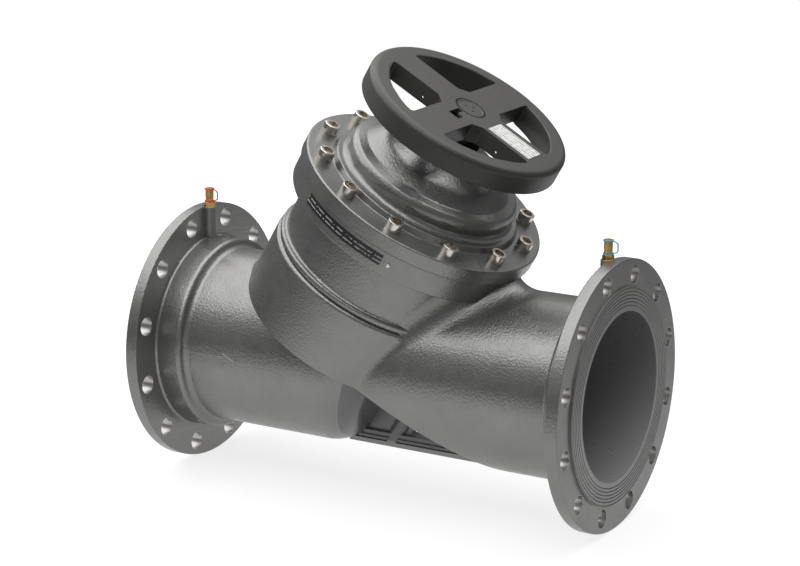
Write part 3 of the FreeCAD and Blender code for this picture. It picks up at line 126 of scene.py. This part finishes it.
# Machined metal
TOOL_MARK_SIZE = 0.0009
TOOL_MARK_DEPTH = 0.00004
STAIN_SIZE = 0.008
STAIN_TONE = 0.78

# Moulded pieces
PEBBLE_SIZE = 0.0013
MOULD_CLOUD_SIZE = 0.04
MOULD_CLOUD_TONE = 1.15
RING_TONE = 0.15

# Printed films
LINE_BREAK_SIZE = 0.0040
LINE_BREAK_LEVEL = 0.45
FILM_WEAR_SIZE = 0.006
FILM_WEAR_TONE = 0.9
FILM_GRAIN_SIZE = 0.003
FILM_GRAIN_DEPTH = 0.00003

# Other colours
STAINLESS = (0.74, 0.70, 0.64, 1)
BRONZE = (0.52, 0.35, 0.18, 1)
DARK_STEEL = (0.075, 0.070, 0.064, 1)
BRASS = (0.80, 0.54, 0.20, 1)
RUBBER = (0.018, 0.018, 0.018, 1)
WHEEL_BLACK = (0.038, 0.037, 0.034, 1)
DIAL_BLACK = (0.045, 0.045, 0.044, 1)
STRAP_RED = (0.68, 0.05, 0.03, 1)
STRAP_BLUE = (0.05, 0.37, 0.58, 1)
LABEL_WHITE = (0.70, 0.70, 0.68, 1)
INK_GREY = (0.20, 0.20, 0.20, 1)
PLATE_BLACK = (0.012, 0.012, 0.012, 1)
PLATE_GREY = (0.42, 0.42, 0.41, 1)

# Studio
FLOOR_MIDDLE = (0.36, 0)
FLOOR_RADIUS = 3.2
FLOOR_GAP = 0.0005
FLOOR_GREY = (0.24, 0.24, 0.24, 1)
FLOOR_SHOWN = (0.79, 1.0)
FLOOR_SHOWN_FROM = (0.8, 2.6)
FLOOR_MIRRORED = 0.70
FLOOR_MIRRORED_FROM = (0.5, 1.9)
ROOM_LIGHT = (0.11, 0.46)
ROOM_HEIGHTS = (0.0, 0.6)

# Camera
CAMERA_AZIMUTH = math.radians(30.02)
CAMERA_ELEVATION = math.radians(14.93)
CAMERA_DISTANCE = 3.618
CAMERA_AIM = Vector((0.365, 0.0005, 0.1201))
CAMERA_SENSOR = 36.0
CAMERA_LENS = 109.12

# Sockets of the mix node when it mixes colours: factor, first and second colour, and the result
COLOUR_MIX_INPUTS = (0, 6, 7)
COLOUR_MIX_OUTPUT = 2


class Shader:
    """A material with short ways to add and link its nodes."""

    def __init__(self, name):
        self.material = bpy.data.materials.new(name)
        self.material.use_nodes = True
        self.tree = self.material.node_tree
        self.surface = self.tree.nodes["Principled BSDF"]
        self.place = self.add("TexCoord").outputs["Object"]

    def add(self, kind, inputs=None, **settings):
        node = self.tree.nodes.new("ShaderNode" + kind)
        for key, value in settings.items():
            setattr(node, key, value)
        for key, value in (inputs or {}).items():
            self.put(node.inputs[key], value)
        return node

    def put(self, socket, value):
        if isinstance(value, bpy.types.NodeSocket):
            self.tree.links.new(value, socket)
        else:
            socket.default_value = value

    def set(self, **values):
        for key, value in values.items():
            self.put(self.surface.inputs[key.replace("_", " ")], value)

    def math(self, operation, first, second=0.0):
        node = self.add("Math", operation=operation)
        self.put(node.inputs[0], first)
        self.put(node.inputs[1], second)
        return node.outputs[0]

    def product(self, *values):
        """Product of values: 1 where every one of several marks is 1."""
        result = values[0]
        for value in values[1:]:
            result = self.math("MULTIPLY", result, value)
        return result

    def length(self, first, second):
        """Length of a line with these two right-angled parts."""
        return self.math("SQRT", self.math("ADD", self.math("POWER", first, 2.0),
                                           self.math("POWER", second, 2.0)))

    def noise(self, size, detail=2.0, roughness=0.5):
        """Noise from 0 to 1 whose lumps are about this size in metres."""
        node = self.add("TexNoise", {
            "Vector": self.place, "Scale": 1 / size, "Detail": detail, "Roughness": roughness})
        return node.outputs["Fac"]

    def spread(self, value, low, high, start=0.3, end=0.7):
        """Carries a value between start and end over to low and high."""
        node = self.add("MapRange", {
            "Value": value, "From Min": start, "From Max": end, "To Min": low, "To Max": high})
        return node.outputs["Result"]

    def choose(self, mark, low, high):
        """The low value where the mark is 0, and the high one where it is 1."""
        return self.spread(mark, low, high, 0.0, 1.0)

    def mix(self, factor, first, second):
        node = self.add("Mix", data_type="RGBA")
        for number, value in zip(COLOUR_MIX_INPUTS, (factor, first, second)):
            self.put(node.inputs[number], value)
        return node.outputs[COLOUR_MIX_OUTPUT]

    def bump(self, height, depth, strength=1.0, under=None):
        node = self.add("Bump", {"Height": height, "Strength": strength, "Distance": depth})
        if under is not None:
            self.put(node.inputs["Normal"], under)
        return node.outputs["Normal"]

    def rounded(self, radius):
        """Normal that looks like edges rounded to this radius."""
        return self.add("Bevel", {"Radius": radius}, samples=EDGE_SAMPLES).outputs["Normal"]

    def along(self, direction, start=Vector((0, 0, 0))):
        """Distance of the surface point from start, measured along a direction."""
        shift = self.add("VectorMath", {0: self.place, 1: start}, operation="SUBTRACT")
        dot = self.add("VectorMath", {0: shift.outputs["Vector"], 1: direction}, operation="DOT_PRODUCT")
        return dot.outputs["Value"]

    def within(self, value, low, high):
        return self.product(self.math("GREATER_THAN", value, low), self.math("LESS_THAN", value, high))

    def stripes(self, value, pitch, width):
        return self.math("LESS_THAN", self.math("PINGPONG", value, pitch / 2), width / 2)


def toned(colour, factor):
    """The colour made darker or lighter by a factor."""
    return tuple(value * factor for value in colour[:3]) + (1,)


def bolt_hole_walls(made, depth, radius):
    """1 on the walls of the bolt holes of both pipe flanges, and 0 elsewhere."""
    angle = made.math("ARCTAN2", made.along(UP), made.along(SIDEWAYS))
    turned = made.math("ADD", angle, math.tau + BOLT_STEP / 2)
    off_hole = made.math("PINGPONG", turned, BOLT_STEP / 2)
    out = made.math("SUBTRACT", made.product(radius, made.math("COSINE", off_hole)), BOLT_CIRCLE)
    across = made.product(radius, made.math("SINE", off_hole))
    near = made.math("LESS_THAN", made.length(out, across), BOLT_HOLE + HOLE_MARGIN)
    return made.product(near, made.math("LESS_THAN", depth, HOLE_REACH))


def clouded_paint(made):
    """Paint colour with soft lighter clouds."""
    cloud = made.spread(made.noise(CLOUD_SIZE, 3.0, 0.55), 0.0, 1.0)
    return made.mix(cloud, PAINT, toned(PAINT, CLOUD_TONE))


def cast_paint(name):
    """Satin graphite paint over the skin of a casting."""
    made = Shader(name)
    tone = clouded_paint(made)
    shine = made.spread(made.noise(SHINE_SIZE, 3.0), *PAINT_ROUGHNESS)
    made.set(Base_Color=tone, Roughness=shine, Metallic=PAINT_METAL)
    add_skin(made, 1.0)
    return made.material


def body_paint(name):
    """The same paint, smooth on the machined faces and in the bore, with bare bolt holes; painted shade in
    the raised-face grooves, a painted highlight on the sides of the flow arrow, and a bore coat lightened
    with painted light.
    """
    made = Shader(name)
    x = made.along(ALONG)
    radius = made.length(made.along(SIDEWAYS), made.along(UP))
    off_middle = made.math("ABSOLUTE", made.math("SUBTRACT", x, FACE_TO_FACE / 2))
    depth = made.math("SUBTRACT", FACE_TO_FACE / 2, off_middle)
    faces = made.math("LESS_THAN", depth, FACE_DEPTH)
    inside = made.math("LESS_THAN", radius, BORE_RADIUS + BORE_MARGIN)
    holes = bolt_hole_walls(made, depth, radius)
    # Painted shade in the raised-face grooves, darker the deeper the surface lies
    groove_shade = made.product(made.within(radius, *GROOVED_RADII), made.within(depth, *GROOVE_DEPTHS),
                           made.spread(depth, *GROOVE_SHADE_STRENGTH, *GROOVE_SHADING))
    # Painted highlight on the side walls of the flow arrow
    arrow_highlight = made.product(made.within(radius, *ARROW_RADII), made.within(x, *ARROW_ENDS),
                         made.within(made.along(UP), *ARROW_EDGES))
    tone = clouded_paint(made)
    # Mixes in painted shade for the grooves, a painted highlight for the arrow sides, bare iron in the bolt
    # holes and the bore coat lightened with painted light
    for mark, colour in ((groove_shade, toned(PAINT, GROOVE_SHADE_TONE)), (arrow_highlight, toned(PAINT, ARROW_HIGHLIGHT_TONE)),
                         (holes, BARE_IRON), (inside, BORE_COAT_PAINTED_LIGHT)):
        tone = made.mix(mark, tone, colour)
    shine = made.spread(made.noise(SHINE_SIZE, 3.0), *PAINT_ROUGHNESS)
    made.set(Base_Color=tone,
             Roughness=made.math("ADD", shine, made.product(faces, FACE_DULLNESS)),
             Metallic=made.math("MAXIMUM", made.choose(inside, PAINT_METAL, BORE_METAL), holes))
    smooth = made.math("MAXIMUM", made.math("MAXIMUM", faces, inside), holes)
    add_skin(made, made.choose(smooth, 1.0, SMOOTH_SKIN))
    return made.material


def add_skin(made, strength):
    """Rounded edges, soft waves and the fine peel of paint on sand-cast iron."""
    waves = made.bump(made.noise(WAVE_SIZE, 1.0), WAVE_DEPTH, strength, made.rounded(CAST_EDGE))
    made.set(Normal=made.bump(made.noise(PEEL_SIZE, 1.0), PEEL_DEPTH, strength, waves))


def metal(name, colour, roughness):
    """Bright machined metal with fine tool marks."""
    made = Shader(name)
    grain = made.noise(TOOL_MARK_SIZE, 2.0, 0.6)
    stain = made.spread(made.noise(STAIN_SIZE), 0.0, 1.0)
    made.set(Base_Color=made.mix(stain, colour, toned(colour, STAIN_TONE)),
             Roughness=made.spread(grain, roughness - 0.05, roughness + 0.08),
             Normal=made.bump(grain, TOOL_MARK_DEPTH),
             Metallic=1.0)
    return made.material


def moulded(name, colour, roughness, pebble=0.00006, rounding=0.0005, ring=None):
    """Moulded plastic or rubber with a fine pebbled skin, and a dark ring round the stem if asked."""
    made = Shader(name)
    fine = made.noise(PEBBLE_SIZE)
    cloud = made.spread(made.noise(MOULD_CLOUD_SIZE, 3.0), 0.0, 1.0)
    tone = made.mix(cloud, colour, toned(colour, MOULD_CLOUD_TONE))
    if ring:
        dark = made.within(made.length(made.along(BRANCH_SIDE, BRANCH_START), made.along(SIDEWAYS)), *ring)
        tone = made.mix(dark, tone, toned(colour, RING_TONE))
        made.set(Specular_IOR_Level=made.choose(dark, 0.5, 0.1))
    made.set(Base_Color=tone,
             Roughness=made.spread(fine, roughness - 0.05, roughness + 0.07),
             Normal=made.bump(fine, pebble, 1.0, made.rounded(rounding)),
             IOR=1.5)
    return made.material


def ruled_film(name, colour, ink, across, middle, pitch, lines):
    """Printed film with plain broken lines, spaced along one direction between two distances."""
    made = Shader(name)
    height = made.along(across, middle)
    ruled = made.product(made.stripes(height, pitch, pitch * LINE_SHARE), made.within(height, *lines))
    printed = made.math("GREATER_THAN", made.noise(LINE_BREAK_SIZE, 1.0), LINE_BREAK_LEVEL)
    worn = made.noise(FILM_WEAR_SIZE, 3.0)
    film = made.mix(made.spread(worn, 0.0, 1.0), colour, toned(colour, FILM_WEAR_TONE))
    made.set(Base_Color=made.mix(made.product(ruled, printed), film, ink),
             Roughness=made.spread(worn, 0.30, 0.42),
             Normal=made.bump(made.noise(FILM_GRAIN_SIZE), FILM_GRAIN_DEPTH))
    return made.material


def window_lip(name, middle, material):
    """Smooth edge of a handwheel window: a curved bar with a rounded upper edge."""
    outer = WINDOW_REACH + LIP_WIDTH
    section = [(WINDOW_REACH, WINDOW_LOW), (outer, WINDOW_LOW), (outer, WINDOW_TOP)]
    for step in range(LIP_EDGE_STEPS + 1):
        turn = math.pi / 2 * step / LIP_EDGE_STEPS
        section.append((WINDOW_REACH + LIP_ROUNDING * (1 - math.sin(turn)),
                        WINDOW_TOP - LIP_ROUNDING * (1 - math.cos(turn))))
    mesh = bmesh.new()
    rings = []
    for step in range(LIP_STEPS + 1):
        angle = middle + LIP_SPREAD * (2 * step / LIP_STEPS - 1)
        outward = BRANCH_SIDE * math.cos(angle) + SIDEWAYS * math.sin(angle)
        rings.append([mesh.verts.new(BRANCH_START + BRANCH_UP * level + outward * reach)
                      for reach, level in section])
    count = len(section)
    for first, second in zip(rings, rings[1:]):
        for k in range(count):
            after = (k + 1) % count
            mesh.faces.new((first[k], first[after], second[after], second[k]))
    mesh.faces.new(rings[0])
    mesh.faces.new(reversed(rings[-1]))
    bmesh.ops.recalc_face_normals(mesh, faces=mesh.faces)
    data = bpy.data.meshes.new(name)
    mesh.to_mesh(data)
    mesh.free()
    piece = bpy.data.objects.new(name, data)
    bpy.context.collection.objects.link(piece)
    for face in data.polygons:
        face.use_smooth = True
    data.set_sharp_from_angle(angle=LIP_SHARP)
    data.materials.append(material)
    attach(piece, "spindle")


def dress(material, *names):
    for name in names:
        for holder in nodes[name].material_slots:
            holder.material = material


def add_floor():
    """Round table that looks white to the camera, shows pale in gloss and keeps its shadow."""
    low = cad_box[0][2] - FLOOR_GAP
    bpy.ops.mesh.primitive_circle_add(vertices=96, radius=FLOOR_RADIUS, fill_type="NGON",
                                      location=(*FLOOR_MIDDLE, low))
    floor = bpy.context.object
    floor.name = "floor"
    made = Shader("floor_white")
    path = made.add("LightPath").outputs
    away = made.add("VectorMath", {0: made.place}, operation="LENGTH").outputs["Value"]
    shown = made.product(path["Is Camera Ray"], made.spread(away, *FLOOR_SHOWN, *FLOOR_SHOWN_FROM))
    glossy = made.math("MAXIMUM", path["Is Glossy Ray"], path["Is Transmission Ray"])
    mirrored = made.product(glossy, made.spread(away, 1.0, 0.0, *FLOOR_MIRRORED_FROM), FLOOR_MIRRORED)
    made.set(Base_Color=FLOOR_GREY, Roughness=0.9, Emission_Color=(1, 1, 1, 1),
             Emission_Strength=made.math("ADD", shown, mirrored))
    floor.data.materials.append(made.material)


def add_world():
    """White to the camera, and a dim room with a lighter upper half to everything else."""
    world = bpy.data.worlds.new("studio")
    bpy.context.scene.world = world
    world.use_nodes = True
    tree = world.node_tree
    background = tree.nodes["Background"]
    background.inputs["Color"].default_value = (1, 1, 1, 1)
    path = tree.nodes.new("ShaderNodeLightPath")
    where = tree.nodes.new("ShaderNodeTexCoord")
    axes = tree.nodes.new("ShaderNodeSeparateXYZ")
    room = tree.nodes.new("ShaderNodeMapRange")
    room.inputs["From Min"].default_value, room.inputs["From Max"].default_value = ROOM_HEIGHTS
    room.inputs["To Min"].default_value, room.inputs["To Max"].default_value = ROOM_LIGHT
    level = tree.nodes.new("ShaderNodeMix")
    level.inputs["B"].default_value = 1.0
    tree.links.new(where.outputs["Generated"], axes.inputs[0])
    tree.links.new(axes.outputs["Z"], room.inputs["Value"])
    tree.links.new(path.outputs["Is Camera Ray"], level.inputs["Factor"])
    tree.links.new(room.outputs["Result"], level.inputs["A"])
    tree.links.new(level.outputs["Result"], background.inputs["Strength"])


def add_softbox(name, place, aim, size, glow):
    """Rectangular lamp whose surface has the given brightness."""
    lamp = bpy.data.lights.new(name, "AREA")
    lamp.shape = "RECTANGLE"
    lamp.size, lamp.size_y = size
    lamp.energy = glow * math.pi * size[0] * size[1]
    item = bpy.data.objects.new(name, lamp)
    bpy.context.collection.objects.link(item)
    item.location = place
    item.rotation_euler = (Vector(aim) - Vector(place)).to_track_quat("-Z", "Y").to_euler()
    item.visible_camera = False


def add_camera():
    """Camera at the photograph's viewing angle, aimed at the middle of the valve."""
    back = Vector((math.sin(CAMERA_AZIMUTH) * math.cos(CAMERA_ELEVATION),
                   -math.cos(CAMERA_AZIMUTH) * math.cos(CAMERA_ELEVATION),
                   math.sin(CAMERA_ELEVATION)))
    data = bpy.data.cameras.new("photo_camera")
    data.sensor_width = CAMERA_SENSOR
    data.lens = CAMERA_LENS
    camera = bpy.data.objects.new("photo_camera", data)
    bpy.context.collection.objects.link(camera)
    camera.location = CAMERA_AIM + back * CAMERA_DISTANCE
    camera.rotation_euler = (-back).to_track_quat("-Z", "Y").to_euler()
    bpy.context.scene.camera = camera


dress(body_paint("body_paint"), "valve_body")
dress(cast_paint("bonnet_paint"), "bonnet", "throttle_disc", "disc_retainer")
dress(metal("stainless_steel", STAINLESS, 0.18), "bonnet_screws", "retainer_screws", "stem",
      "handwheel_screw", "handwheel_washer", "guide_key", "nameplate_rivet")
dress(metal("bronze", BRONZE, 0.28), "seat_ring", "stem_nut", "lower_thrust_washer", "upper_thrust_washer")
dress(metal("dark_gland", DARK_STEEL, 0.36), "stem_gland")
dress(metal("brass", BRASS, 0.22), "inlet_test_nipple", "inlet_test_cap", "outlet_test_nipple",
      "outlet_test_cap", "inlet_test_seal", "outlet_test_seal")
dress(moulded("rubber", RUBBER, 0.60), "disc_seal", "stem_o_rings", "bonnet_gasket",
      "inlet_test_septum", "outlet_test_septum")
wheel_plastic = moulded("wheel_plastic", WHEEL_BLACK, 0.40, 0.00009, 0.002)
dress(wheel_plastic, "handwheel")
dress(moulded("cap_plastic", WHEEL_BLACK, 0.40, 0.00009, 0.0006, CAP_RING), "handwheel_cap")
for quarter in range(4):
    window_lip(f"wheel_window_lip_{quarter + 1}", math.radians(45 + 90 * quarter), wheel_plastic)
dress(moulded("dial_plastic", DIAL_BLACK, 0.45), "tenths_dial", "turns_dial")
dress(moulded("red_strap", STRAP_RED, 0.34), "inlet_test_strap")
dress(moulded("blue_strap", STRAP_BLUE, 0.34), "outlet_test_strap")
dress(ruled_film("wheel_label", LABEL_WHITE, INK_GREY, SIDEWAYS, LABEL_MIDDLE, LABEL_PITCH, LABEL_LINES),
      "handwheel_label")
dress(ruled_film("black_plate", PLATE_BLACK, PLATE_GREY, BRANCH_UP, PLATE_MIDDLE, PLATE_PITCH, PLATE_LINES),
      "nameplate")

add_floor()
add_world()
add_softbox("overhead_softbox", place=(0.05, -0.15, 2.15), aim=(0.05, -0.15, 0.15),
            size=(3.7, 4.5), glow=1.9)
add_softbox("left_softbox", place=(-2.3, 0.4, 1.62), aim=(-0.3, 0.4, 0.9),
            size=(4.0, 1.05), glow=2.0)
add_camera()

bpy.context.scene.view_settings.view_transform = "Standard"
